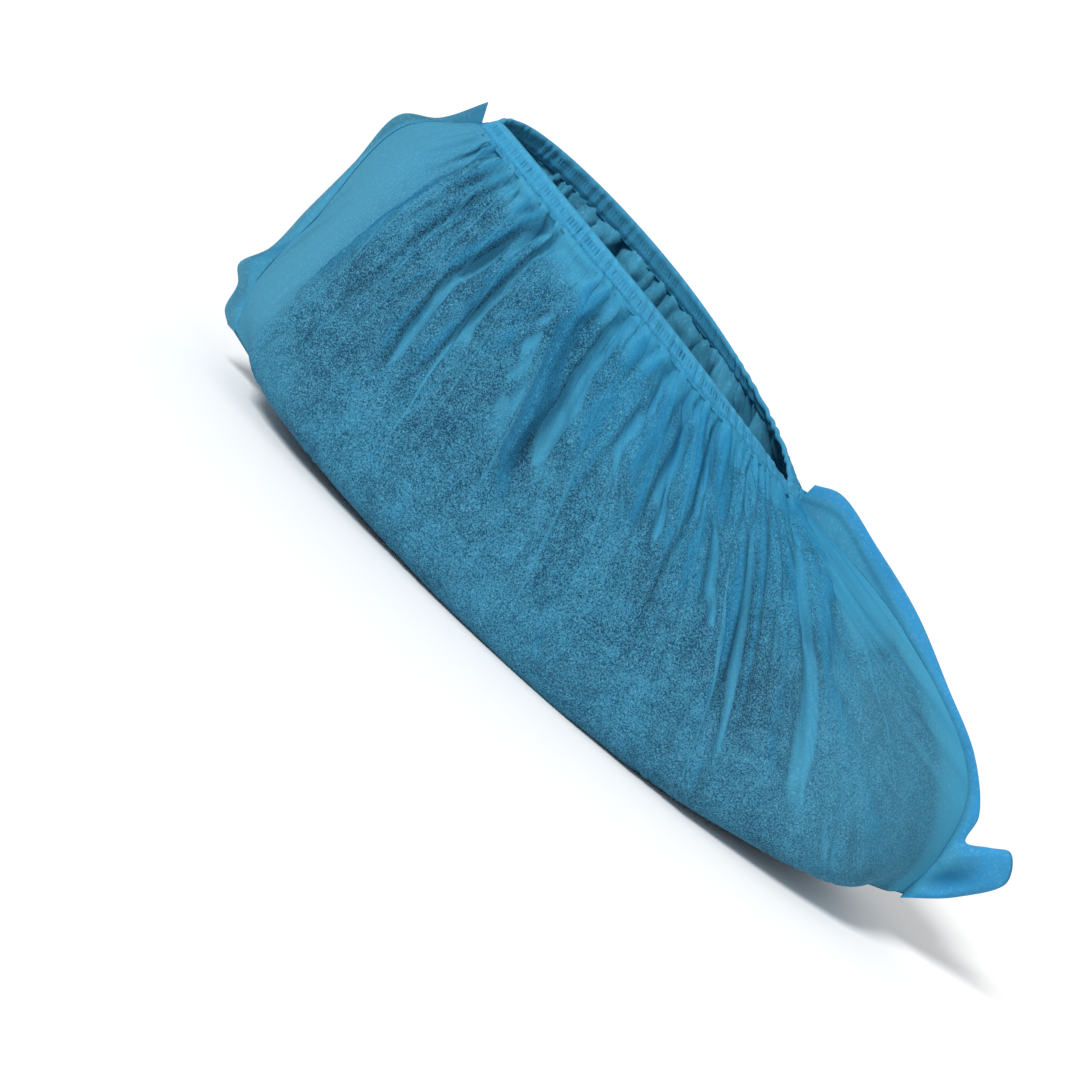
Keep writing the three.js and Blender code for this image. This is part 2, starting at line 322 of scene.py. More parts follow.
# Noises of the finish, in grains for each metre.
Noise = namedtuple("Noise", "scale detail rough distort")
NOISE_SOCKETS = ("Scale", "Detail", "Roughness", "Distortion")
GRAIN = Noise(1900, 2, 0.65, 0)
THREAD = Noise(1450, 3, 0.7, 0.8)
PATCH = Noise(190, 2, 0.5, 0)
CLOUD = Noise(55, 3, 0.55, 0)
PLEAT_BEND = Noise(22, 1, 0.55, 0)
FLOOR_GRAIN = Noise(6, 2, 0.55, 0)

# Spans over which features of the finish grow from nothing to their full strength.
SPAN = SimpleNamespace(
    ridge=(0.8, 2.4), valley_shade=(-0.5, -2.2), gaps=(0.4, 0.63), stretched=(0.3, 1.0), fibres=(0.5, 0.66),
    clouds=(0.35, 0.7), grey=(0.45, 0.65), toe_shares=(0.6, 0.82), toe_drops=(0.25, 0.5),
    heel_x=(-0.1, -0.14), doubled_drops=(0.42, 0.03), doubled_shares=(0.3, 0.62), edge=(0.1, 0.6),
)

# How strongly features of the finish show, from 0 to 1, among them painted highlights on ridges, pleats and
# the heel lip, and painted shade in valleys, creases, the heel crease line and on the heel's free cloth.
SHOW = SimpleNamespace(
    ridge_free=0.64, valley_free=0.2, patch=0.45, cloud=0.55, density=0.38, fibre_least=0.25, fibre_more=0.6,
    toe_grey=0.6, cloud_grey=0.35, panel_least=0.65, panel_more=0.4, pale=0.8, doubled_least=0.12,
    doubled_more=0.4, doubled_valley_shade=0.3, fibres=0.66, gaps=0.95, pleat_cover=0.5, pleat=0.55, heel_lip=0.35,
    crease=0.6, hem_crease=0.55, heel_line=0.6, valley_shade=0.34,
)

# Heights of features in the bump of the finish, against each other.
RISE = SimpleNamespace(grain=0.6, thread=0.4, pleat=1.5, crease=2, heel_line=3)

# How matt each cloth is, and the strength and depth of its bump, the depth in millimetres.
Matt = namedtuple("Matt", "rough spread bump depth specular")
SHEET_MATT = Matt(0.78, 0.18, 0.35, 0.25, 0.1)
INSIDE_MATT = Matt(0.78, 0.18, 0.3, 0.25, 0.1)
SEAM_MATT = Matt(0.7, 0.2, 0.25, 0.2, 0.12)

# Plain cloth: its noises, and how strongly its clouds and fibres show.
Plain = namedtuple("Plain", "thread cloud clouds fibres")
INSIDE_PLAIN = Plain(Noise(900, 3, 0.7, 0.8), Noise(60, 3, 0.55, 0), 0.6, 0.4)
SEAM_PLAIN = Plain(Noise(1000, 3, 0.7, 0.8), Noise(80, 3, 0.55, 0), 0.25, 0.3)

FLOOR_SIDES = 96
FLOOR_RADII = (0.6, 4, 300)
FLOOR_ROUGH = 0.85
FLOOR_ROUGH_SPREAD = 0.1


def linear(red, green, blue):
    """A colour as seen on a screen, 0 to 255, as the linear values that shaders use."""
    seen = np.array([red, green, blue]) / 255
    return tuple(np.where(seen <= 0.04045, seen / 12.92, ((seen + 0.055) / 1.055) ** 2.4))


def length(name, description, value, low, high):
    """A property for a length, given in millimetres."""
    return FloatProperty(
        name=name, description=description, default=value * MM, min=low * MM, max=high * MM,
        unit="LENGTH", precision=5)


def angle(name, description, degrees):
    """A property for an angle, given in degrees."""
    return FloatProperty(name=name, description=description, default=math.radians(degrees), subtype="ANGLE")


def colour(name, description, *seen):
    """A property for a colour, given as seen on a screen."""
    return FloatVectorProperty(
        name=name, description=description, default=linear(*seen), size=3, min=0, max=1, subtype="COLOR")


class CoverSizes(bpy.types.PropertyGroup):
    """Sizes of the cloth, its gathers, the hem and the seams."""

    cloth_thickness: length("Cloth thickness", "Thickness of the nonwoven sheet", 0.4, 0.1, 2)
    gather_count: IntProperty(
        name="Gathers", description="Gathers under the hem on each side", default=34, min=8, max=60)
    gather_height: length("Gather height", "How far a gather stands out of the panel", 5, 0, 8)
    slack: FloatProperty(
        name="Slack", description="Spare cloth that crumples when the cover is worn",
        default=0.028, min=0, max=0.2, subtype="FACTOR")
    hem_height: length("Hem height", "Height of the elastic hem", 6.3, 3, 10)
    hem_thickness: length("Hem thickness", "Thickness of the folded hem over the elastic", 2.0, 1, 4)
    tick_depth: length("Ruche depth", "Depth of the small pleats that the elastic draws in", 0.55, 0, 1)
    tick_pitch: length("Ruche pitch", "Distance between the small pleats of the hem", 1.3, 0.8, 4)
    fin_thickness: length("Seam thickness", "Thickness of the welded seam edges", 0.7, 0.2, 2)
    fin_wave: length("Seam wave", "How far the free seam edges wave to each side", 0.9, 0, 5)


class CoverColours(bpy.types.PropertyGroup):
    """Colours of the nonwoven cloth."""

    web: colour("Free cloth", "Cloth that stands free, near the seams and on the folds", 60, 139, 171)
    panel: colour("Stretched cloth", "Cloth drawn over the foot, between its fibres", 50, 112, 141)
    gap: colour("Gaps", "Thin spots between the fibres of the stretched cloth", 14, 56, 80)
    fibre: colour("Fibres", "Dense fibres of the stretched cloth", 104, 168, 194)
    # Painted shade: dark blue mixed into fold valleys, pleat creases, the heel crease line and the shaded
    # marks of the hem and the fins.
    valley_shade: colour("Valleys", "Depth of the folds", 9, 86, 126)
    hem: colour("Hem", "Folded cloth over the elastic", 54, 138, 176)
    hem_foot: colour("Foot of the hem", "Lower edge of the hem, where the gathers begin", 43, 128, 168)
    weld: colour("Welded cloth", "Free edge of the toe fin, where two sheets are welded", 50, 137, 187)
    # Painted shade: this darker colour is mixed into the free cloth at the heel end; it also colours the free
    # edge of the heel fin.
    pale: colour("Heel cloth", "Free cloth at the heel and the free edge of its fin", 63, 123, 148)
    # Also mixed into the fold valleys as painted shade.
    doubled: colour("Doubled cloth", "Cloth that lies double in gathers and the depth of folds", 33, 128, 172)
    toe: colour("Tight cloth", "Cloth drawn tight over the toe and in patches, a little greyer", 61, 110, 134)


class CoverStudio(bpy.types.PropertyGroup):
    """Camera and light of the stage."""

    elevation: angle("Elevation", "Angle of the camera above the horizon", 14)
    roll: angle("Roll", "Turn of the camera about its own axis", 41)
    aim: FloatVectorProperty(
        name="Aim", description="Point in the middle of the picture",
        default=(-0.028, 0, 0.027), size=3, subtype="XYZ", unit="LENGTH")
    distance: FloatProperty(
        name="Distance", description="Distance from the camera to the aim",
        default=1.1, min=0.3, unit="LENGTH")
    view_width: FloatProperty(
        name="Picture width", description="Width of the picture at the aim",
        default=0.362, min=0.1, unit="LENGTH")
    sky: FloatProperty(
        name="Sky", description="Strength of the even light from all round", default=0.63, min=0)
    key: FloatProperty(
        name="Key", description="Strength of the broad soft light", default=2.7, min=0)
    key_spread: angle("Key spread", "Angle that the soft light fills in the sky", 16)
    key_way: FloatVectorProperty(
        name="Key direction", description="Direction in which the soft light shines",
        default=(0.45, 0.62, -0.64), size=3, subtype="DIRECTION")
    floor: FloatVectorProperty(
        name="Floor", description="Colour of the floor",
        default=(0.93, 0.93, 0.93), size=3, min=0, max=1, subtype="COLOR")


def step(value, low, high):
    """Smooth step from 0 at low to 1 at high."""
    share = np.clip((value - low) / (high - low), 0, 1)
    return share * share * (3 - 2 * share)


def unit(vectors):
    """Vectors of length 1."""
    return vectors / np.maximum(np.linalg.norm(vectors, axis=-1, keepdims=True), TINY)


def way(points):
    """Way travelled along a line of points, from 0 at its start."""
    return np.concatenate([[0], np.cumsum(np.linalg.norm(np.diff(points, axis=0), axis=-1))])


def spline(points, shares):
    """Centripetal Catmull-Rom curve through points at even shares of its course."""
    last = len(points) - 1
    place = np.clip(np.asarray(shares) * last, 0, last - TINY)
    index = place.astype(int)
    before = 2 * points[0] - points[1]
    after = 2 * points[-1] - points[-2]
    padded = np.concatenate([[before], points, [after]])
    p0, p1, p2, p3 = (padded[index + k] for k in range(4))
    t = (place - index).reshape(index.shape + (1,) * (p1.ndim - index.ndim))

    def knot(start, end):
        return np.maximum(((end - start) ** 2).sum(-1, keepdims=True), LEAST_KNOT) ** 0.25

    d0, d1, d2 = knot(p0, p1), knot(p1, p2), knot(p2, p3)
    m1 = ((p1 - p0) / d0 - (p2 - p0) / (d0 + d1) + (p2 - p1) / d1) * d1
    m2 = ((p2 - p1) / d1 - (p3 - p1) / (d1 + d2) + (p3 - p2) / d2) * d1
    cubic = 2 * (p1 - p2) + m1 + m2
    square = 3 * (p2 - p1) - 2 * m1 - m2
    return p1 + m1 * t + square * t ** 2 + cubic * t ** 3


def rim(shares):
    """Points of one side of the foot opening, in millimetres."""
    turn = math.pi * np.asarray(shares)
    middle = (MOUTH["back_x"] + MOUTH["front_x"]) / 2
    reach = (MOUTH["front_x"] - MOUTH["back_x"]) / 2
    chord = MOUTH["back_z"] + (MOUTH["front_z"] - MOUTH["back_z"]) * (1 - np.cos(turn)) / 2
    lift = MOUTH["crown"] * np.sin(turn)
    return np.stack([middle - reach * np.cos(turn), MOUTH["half_width"] * np.sin(turn), chord + lift], -1)


def panel_lines(shares, drops):
    """Lines from the hem to the middle of the sole at these shares, in millimetres."""
    levels = [rim(shares)]
    levels += [spline(np.array([row[name] for row in SECTIONS], float), shares) for name in LEVELS]
    lines = spline(np.array(levels), drops)
    lines[..., 1:] = np.maximum(lines[..., 1:], 0)
    return lines


def even_panel(shares):
    """Grid of one smooth side panel, with its rows evenly spaced down each line."""
    dense = panel_lines(shares, np.linspace(0, 1, DENSE_ROWS + 1))
    steps = np.linalg.norm(np.diff(dense, axis=0), axis=-1)
    arc = np.concatenate([np.zeros((1, len(shares))), np.cumsum(steps, 0)])
    drops = np.linspace(0, 1, ROWS + 1)
    grid = np.empty((ROWS + 1, len(shares), 3))
    for column in range(len(shares)):
        for axis in range(3):
            places = drops * arc[-1, column]
            grid[:, column, axis] = np.interp(places, arc[:, column], dense[:, column, axis])
    return grid


def outward(grid):
    """Unit normals of a panel grid, pointing out of the cover."""
    return unit(np.cross(np.gradient(grid, axis=0), np.gradient(grid, axis=1)))


def row_lengths(grid):
    """Length of each row of a panel, from seam to seam."""
    return np.linalg.norm(np.diff(grid, axis=1), axis=-1).sum(1)


def far_folds():
    """Folds of the hidden side: the same kind of folds, at other places."""
    folds = []
    for number, fold in enumerate(NEAR_FOLDS):
        shift = FAR_SHIFT if number % 2 else -FAR_SHIFT
        places = {name: getattr(fold, name) + shift for name in ("top", "middle", "end")}
        folds.append(fold._replace(**places, height=FAR_HEIGHT * fold.height))
    return folds


def minor_folds(chance):
    """Faint creases, scattered over a panel."""
    folds = []
    for kind in CREASE_KINDS:
        for _ in range(kind.count):
            top = chance.uniform(*CREASE_SHARES)
            start = chance.uniform(*kind.starts)
            lean = kind.lean * chance.uniform(-1, 1)
            height = chance.choice([-1, 1]) * chance.uniform(*kind.heights)
            flanks = chance.uniform(*kind.flanks, 2)
            reach = start + chance.uniform(*kind.spans)
            middle = top + lean / 2 + CREASE_BOW * chance.uniform(-1, 1)
            folds.append(Fold(top, middle, top + lean, start, reach, height, *flanks))
    return folds


def fold_relief(folds, shares, drops, lengths, chance):
    """Height of folds over the smooth panel, in millimetres."""
    relief = np.zeros((len(drops), len(shares)))
    for fold in folds:
        along = (drops - fold.start) / (fold.reach - fold.start)
        inside = np.clip(along, 0, 1)
        bow = (fold.middle - (fold.top + fold.end) / 2) * 4 * inside * (1 - inside)
        turns = chance.uniform(*WANDER_TURNS) * inside + chance.uniform()
        wander = FOLD_WANDER * np.sin(2 * math.pi * turns)
        path = fold.top + (fold.end - fold.top) * inside + bow + wander
        gap = (shares[None] - path[:, None]) * lengths[:, None]
        flank = np.where(gap < 0, 1 + gap / fold.rise, 1 - gap / fold.fall)
        crest = np.clip(FOLD_PLATEAU * flank, 0, 1)
        if fold.start == 0:
            begin = HEM_START + (1 - HEM_START) * step(drops, 0, FULL_HEIGHT_DROP)
        else:
            begin = step(along, 0, END_FADE)
        ends = begin * (1 - step(along, 1 - END_FADE, 1))
        relief += FOLD_GAIN * fold.height * ends[:, None] * crest ** FOLD_PEAK
    return relief


def gather_row(count, height, reaches, shares, drops, lengths, rim_points, chance):
    """Height of one row of gathers side by side under the hem, in millimetres."""
    relief = np.zeros((len(drops), len(shares)))
    arc = way(rim_points)
    pitch = arc[-1] / count
    for number in range(count):
        centre = (number + 0.5 + chance.uniform(-GATHER_JITTER, GATHER_JITTER)) * pitch
        top = height * chance.uniform(*GATHER_HEIGHTS)
        reach = chance.uniform(*reaches[number % len(reaches)])
        half = pitch * chance.uniform(*GATHER_WIDTHS)
        path = np.interp(centre, arc, shares) + GATHER_DRIFT * chance.uniform(-1, 1) * drops
        gap = (shares[None] - path[:, None]) * lengths[:, None]
        wide = half * (1 + GATHER_SPREAD * drops)[:, None]
        cap = np.maximum(1 - np.abs(gap / wide) ** GATHER_ROUND, 0)
        begin = GATHER_AT_HEM + (1 - GATHER_AT_HEM) * step(drops, 0, GATHER_FULL_DROP)
        fade = begin * np.clip(1 - drops / reach, 0, 1) ** GATHER_FADE
        relief = np.maximum(relief, top * fade[:, None] * cap)
    return relief


def gather_relief(sizes, *panel):
    """Height of the gathers under the hem, broad ones and small ones, in millimetres."""
    relief = gather_row(sizes.gather_count, sizes.gather_height / MM, GATHER_REACHES, *panel)
    small_count = round(RUCHE_SHARE * sizes.gather_count)
    relief += gather_row(small_count, RUCHE_HEIGHT * sizes.gather_height / MM, RUCHE_REACHES, *panel)
    return relief - GATHER_SETTLE * broad(relief)


def straight_web(grid, shares, drops, creases):
    """A panel grid whose cloth runs straight from a crease to the seam at share 0, and flat into it."""
    web = grid.copy()
    for row, drop in enumerate(drops):
        crease = np.interp(drop, CREASE_DROPS, creases)
        inside = shares < crease
        hold = np.array([np.interp(crease, shares, grid[row, :, axis]) for axis in range(3)])
        part = shares[inside] / crease
        line = grid[row, 0] + (hold - grid[row, 0]) * part[:, None]
        line[:, 1] *= part ** WEB_CUSP
        amount = WEB_FLATNESS * step(drop, 0, WEB_TOP) * (1 - step(drop, *WEB_END))
        web[row, inside] += amount * (line - grid[row, inside])
    return web


def smooth_panel(shares, drops):
    """The worn panel before it is folded, with its two flat webs."""
    heel_flat = straight_web(even_panel(shares), shares, drops, HEEL_CREASE)
    toe_creases = [1 - share for share in TOE_CREASE]
    return straight_web(heel_flat[:, ::-1], 1 - shares[::-1], drops, toe_creases)[:, ::-1]


def web_cloth(shares, drops):
    """Where the cloth hangs flat beside the seams: 1 in the two webs and 0 on the panel."""
    share, drop = np.meshgrid(shares, drops)
    crease = np.interp(drop, CREASE_DROPS, HEEL_CREASE)
    heel = 1 - step(share, crease + HEEL_WEB_FADE[0], crease + HEEL_WEB_FADE[1])
    heel_shade = HEEL_WEB_SHADE * step(share / crease, *HEEL_SHADE_SPAN)
    toe_top = step(share, *TOE_WEB_SHARES) * (1 - step(drop, *TOE_WEB_DROPS))
    toe_edge = step(share, *TOE_SEAM_SHARES)
    return np.max([heel * (1 - heel_shade), toe_top, toe_edge], axis=0)


def zone_cloth(zone, share, drop):
    """How free the cloth stands in one zone."""
    return zone.free * step(share, *zone.shares) * step(drop, *zone.drops)


def free_cloth(shares, drops):
    """How free of the foot the cloth stands, and so how light and smooth it is drawn: 1 in the webs, less in
    the zones beside them, 0 on the panel; the low zone is painted light.
    """
    share, drop = np.meshgrid(shares, drops)
    beyond = share - np.interp(drop, CREASE_DROPS, HEEL_CREASE)
    fields = [web_cloth(shares, drops), HEEL_SIDE_FREE * step(beyond, HEEL_SIDE_WIDTH, 0)]
    fields += [zone_cloth(zone, share, drop) for zone in FREE_ZONES.values()]
    free = np.max(fields, axis=0)
    return free - zone_cloth(HEEL_CLING, share, drop) * (1 - free)


def panel_relief(sizes, smooth, shares, drops, folds, seed):
    """Heights over the smooth panel in millimetres: of its main folds, and of its creases and gathers."""
    chance = np.random.default_rng(seed)
    lengths = row_lengths(smooth)
    main = fold_relief(folds, shares, drops, lengths, chance)
    fine = fold_relief(minor_folds(chance), shares, drops, lengths, chance)
    fine += gather_relief(sizes, shares, drops, lengths, smooth[0], chance)
    calm = step(shares, 0, SEAM_CALM) * (1 - step(shares, 1 - SEAM_CALM, 1))
    calm = calm[None] * step(smooth[..., 2], 0, SOLE_CALM_HEIGHT)
    calm *= 1 - WEB_SMOOTH * web_cloth(shares, drops) * step(drops, *WEB_SMOOTH_DROPS)[:, None]
    return main * calm, fine * calm


def patchy(chance):
    """Smooth random patches over a panel, from 0 to 2 and 1 on average."""
    share, drop = np.meshgrid(np.linspace(0, 1, COLUMNS + 1), np.linspace(0, 1, ROWS + 1))
    field = np.zeros_like(share)
    for _ in range(PATCH_WAVES):
        across, down = chance.uniform(*PATCH_ACROSS), chance.uniform(*PATCH_DOWN)
        field += np.cos(2 * math.pi * (across * share + down * drop + chance.uniform()))
    return np.clip(1 + PATCH_CONTRAST * field / math.sqrt(PATCH_WAVES), 0, 2)


def broad(field):
    """A field averaged along the rows, which leaves its broad swells alone."""
    reach = np.ones(BROAD_COLUMNS) / BROAD_COLUMNS
    wide = np.pad(field, ((0, 0), (BROAD_COLUMNS // 2, BROAD_COLUMNS // 2)), "edge")
    return np.stack([np.convolve(row, reach, "valid") for row in wide])


class Bag:
    """Both side panels as one mesh: the sides share the two seams and the fold under the sole."""

    def __init__(self):
        shape = (ROWS + 1, COLUMNS + 1)
        near = np.arange(shape[0] * shape[1]).reshape(shape)
        far = near.copy()
        own = np.s_[:-1, 1:-1]
        far[own] = near.size + np.arange(far[own].size).reshape(far[own].shape)
        self.near = near
        self.far = far
        self.count = near.size + far[own].size

    def join(self, near, far):
        """One value for each vertex from the values of the two panels."""
        values = np.empty((self.count,) + near.shape[2:])
        values[self.far] = far
        values[self.near] = near
        return values

    def faces(self):
        """Four-cornered faces of both panels, facing out."""
        quads = []
        for ids, turn in ((self.near, 1), (self.far, -1)):
            corners = [ids[:-1, :-1], ids[1:, :-1], ids[1:, 1:], ids[:-1, 1:]]
            quads.append(np.stack(corners, -1).reshape(-1, 4)[:, ::turn])
        return np.concatenate(quads)


def new_piece(name, points, faces):
    """A smooth-shaded mesh object from points in metres."""
    mesh = bpy.data.meshes.new(name)
    mesh.from_pydata(np.asarray(points).tolist(), [], np.asarray(faces).tolist())
    mesh.polygons.foreach_set("use_smooth", np.ones(len(mesh.polygons), bool))
    mesh.update()
    piece = bpy.data.objects.new(name, mesh)
    bpy.context.scene.collection.objects.link(piece)
    return piece


def ring_faces(here, ahead):
    """Four-cornered faces from rings of vertices to the rings ahead of them."""
    corners = [here, np.roll(here, -1, 1), np.roll(ahead, -1, 1), ahead]
    return np.stack(corners, -1).reshape(-1, 4)


def set_field(piece, name, values):
    """Stores one number for each vertex, for the material to read."""
    field = piece.data.attributes.new(name, "FLOAT", "POINT")
    field.data.foreach_set("value", np.asarray(values, np.float32).ravel())


def settle_cloth(faces, worn, pins, spare):
    """Lets cloth that is cut wider than the worn form shrink into it, and returns where it settles."""
    centre = worn.mean(0)
    widen = np.stack([1 + spare, 1 + spare, np.ones_like(spare)], -1)
    loose = new_piece("loose_cloth", centre + (worn - centre) * widen, faces)
    loose.shape_key_add(name="cut")
    key = loose.shape_key_add(name="worn")
    key.data.foreach_set("co", worn.astype(np.float32).ravel())
    for value, moment in ((0, 1), (1, SIM_WORN_FRAME)):
        key.value = value
        key.keyframe_insert("value", frame=moment)
    group = loose.vertex_groups.new(name="held")
    levels = pins.round(2)
    for level in np.unique(levels):
        group.add(np.nonzero(levels == level)[0].tolist(), float(level), "REPLACE")
    cloth = loose.modifiers.new("cloth", "CLOTH")
    cloth.collision_settings.use_collision = False
    cloth.point_cache.frame_start = 1
    cloth.point_cache.frame_end = SIM_FRAMES
    for name, setting in CLOTH_SETTINGS.items():
        setattr(cloth.settings, name, setting)
    cloth.settings.effector_weights.gravity = 0
    scene = bpy.context.scene
    for moment in range(1, SIM_FRAMES + 1):
        scene.frame_set(moment)
    settled = bpy.data.meshes.new_from_object(loose.evaluated_get(bpy.context.evaluated_depsgraph_get()))
    points = np.empty(3 * len(settled.vertices), np.float32)
    settled.vertices.foreach_get("co", points)
    scene.frame_set(1)
    bpy.data.objects.remove(loose)
    bpy.data.meshes.remove(settled)
    return points.reshape(-1, 3).astype(float)


def hold_near(points, worn, most):
    """Keeps each point within a distance of the worn form, and above the floor."""
    move = points - worn
    far = np.linalg.norm(move, axis=-1, keepdims=True)
    held = worn + move * np.minimum(1, most / np.maximum(far, TINY))
    held[:, 2] = np.maximum(held[:, 2], 0)
    return held


class Value:
    """A shader socket that carries a number: arithmetic on it adds Math nodes."""

    def __init__(self, look, socket):
        self.look = look
        self.socket = socket

    def math(self, operation, first, second):
        """The result of one Math node."""
        made = self.look.node("ShaderNodeMath", {"operation": operation}, {0: first, 1: second})
        return Value(self.look, made.outputs[0])

    def __add__(self, other):
        return self.math("ADD", self, other)

    def __radd__(self, other):
        return self.math("ADD", other, self)

    def __sub__(self, other):
        return self.math("SUBTRACT", self, other)

    def __rsub__(self, other):
        return self.math("SUBTRACT", other, self)

    def __mul__(self, other):
        return self.math("MULTIPLY", self, other)

    def __rmul__(self, other):
        return self.math("MULTIPLY", other, self)

    def __truediv__(self, other):
        return self.math("DIVIDE", self, other)

    def __rtruediv__(self, other):
        return self.math("DIVIDE", other, self)

    def __abs__(self):
        return self.math("ABSOLUTE", self, 0)


class Look:
    """A material and the nodes that paint it."""

    def __init__(self, name):
        self.material = bpy.data.materials.new(name)
        self.material.use_nodes = True
        self.tree = self.material.node_tree
        self.shader = self.tree.nodes["Principled BSDF"]
        self.place = self.node("ShaderNodeTexCoord").outputs["Object"]

    def feed(self, socket, given):
        """Links a value or socket, or sets a plain number or colour."""
        source = given.socket if isinstance(given, Value) else given
        if isinstance(source, bpy.types.NodeSocket):
            self.tree.links.new(source, socket)
        else:
            socket.default_value = source

    def node(self, kind, settings=None, sockets=None):
        """A new node with its settings, and then the values or links of its sockets."""
        made = self.tree.nodes.new(kind)
        for name, setting in (settings or {}).items():
            setattr(made, name, setting)
        for name, given in (sockets or {}).items():
            self.feed(made.inputs[name], given)
        return made

    def noise(self, kind):
        """Noise over the object."""
        sockets = dict(zip(NOISE_SOCKETS, kind))
        made = self.node("ShaderNodeTexNoise", {}, {"Vector": self.place, **sockets})
        return Value(self, made.outputs["Fac"])

    def along(self, place, axis):
        """One coordinate of a place."""
        return Value(self, self.node("ShaderNodeSeparateXYZ", {}, {0: place}).outputs[axis])

    def field(self, name):
        """A number stored on the vertices."""
        made = self.node("ShaderNodeAttribute", {"attribute_name": name})
        return Value(self, made.outputs["Fac"])

    def step(self, value, low, high):
        """Smooth step of a value from 0 at low to 1 at high."""
        settings = {"interpolation_type": "SMOOTHSTEP", "clamp": True}
        sockets = {"Value": value, "From Min": low, "From Max": high}
        return Value(self, self.node("ShaderNodeMapRange", settings, sockets).outputs["Result"])

    def mix(self, factor, first, second):
        """The first colour at factor 0 and the second at 1."""
        colours = [c if isinstance(c, bpy.types.NodeSocket) else (*c, 1) for c in (first, second)]
        made = self.node("ShaderNodeMix", {"data_type": "RGBA"}, {0: factor, 6: colours[0], 7: colours[1]})
        return made.outputs[2]

    def line(self, value, middle, width):
        """A soft line, 1 where a value passes its middle and 0 a width to either side."""
        return 1 - self.step(abs(value - middle), 0, width)

    def paint(self, tone, thread, height, matt):
        """Feeds the shader a colour, a roughness that follows the threads and a normal bent by a height."""
        sockets = {"Height": height, "Strength": matt.bump, "Distance": matt.depth * MM}
        self.feed(self.shader.inputs["Base Color"], tone)
        self.feed(self.shader.inputs["Roughness"], matt.rough + thread * matt.spread)
        self.feed(self.shader.inputs["Normal"], self.node("ShaderNodeBump", {}, sockets).outputs["Normal"])
        self.shader.inputs["Specular IOR Level"].default_value = matt.specular


def fine_pleats(look, row):
    """Masks of narrow pleats that run down the panel, drawn with a painted highlight, and of the creases on
    their toe sides, drawn with painted shade, both from 0 to 1.
    """
    across = look.field("share") * row.strips
    drop = look.field("drop")
    strip = across.math("FLOOR", across, 0)
    side = look.step(look.along(look.place, "Y"), -MM, MM)
    key = look.node("ShaderNodeCombineXYZ", {}, {"X": strip, "Y": side, "Z": 0.5}).outputs[0]
    drawn = look.node("ShaderNodeTexWhiteNoise", {"noise_dimensions": "3D"}, {"Vector": key}).outputs["Color"]
    first, second, third = (look.along(drawn, axis) for axis in "XYZ")
    middle = first * (row.middles[1] - row.middles[0]) + row.middles[0]
    reach = second * (row.reaches[1] - row.reaches[0]) + row.reaches[0]
    left = 1 - abs(drop - middle) / reach
    centre = PLEAT_MARGIN + third * (1 - 2 * PLEAT_MARGIN)
    lean = (second - 0.5) * (drop - middle) * row.lean
    bend = (look.noise(PLEAT_BEND) - 0.5) * row.bend
    gap = across - strip - centre - lean + bend
    half = left * row.half
    strengths = [PLEAT_FAINTEST + draw * (1 - PLEAT_FAINTEST) for draw in (third, first)]
    pleat = look.step(half - abs(gap), 0, row.edge) * strengths[0]
    crease = look.step(half * PLEAT_CREASE - abs(gap - half), 0, row.edge) * strengths[1]
    return pleat, crease


def heel_lines(look):
    """Masks of the painted shade line along the heel crease and the painted highlight on the lip beside it,
    both from 0 to 1.
    """
    drop = look.field("drop")
    gap = look.field("share") - (HEEL_LINE.share - drop * HEEL_LINE.lean)
    fade = 1 - look.step(drop, *HEEL_LINE.fade)
    return [look.line(gap, middle, HEEL_LINE.width) * fade for middle in (0, HEEL_LINE.lip)]


def sheet_tone(look, colours, stretched, valley_shade, cloud):
    """Colour of the cloth before its fibres: dark where stretched, grey at the toe, painted shade on the free
    cloth at the heel end, and blue where doubled and, as painted shade, in the valleys.
    """
    free, share, drop = (look.field(name) for name in ("free", "share", "drop"))
    over_toe = look.step(share, *SPAN.toe_shares) * look.step(drop, *SPAN.toe_drops)
    greyed = over_toe * SHOW.toe_grey + look.step(cloud, *SPAN.grey) * SHOW.cloud_grey
    panel = look.mix(greyed, colours.panel, colours.toe)
    tone = look.mix(stretched * (SHOW.panel_least + cloud * SHOW.panel_more), colours.web, panel)
    # Painted shade: free cloth at the heel end is mixed towards the darker heel colour.
    by_heel = look.step(look.along(look.place, "X"), *SPAN.heel_x)
    tone = look.mix(by_heel * free * SHOW.pale, tone, colours.pale)
    to_toe = SHOW.doubled_least + look.step(share, *SPAN.doubled_shares) * SHOW.doubled_more
    # Bluer towards the hem and the toe where the cloth lies doubled, and bluer in the fold valleys as painted
    # shade.
    doubled = look.step(drop, *SPAN.doubled_drops) * to_toe + valley_shade * SHOW.doubled_valley_shade
    return look.mix(doubled, tone, colours.doubled)


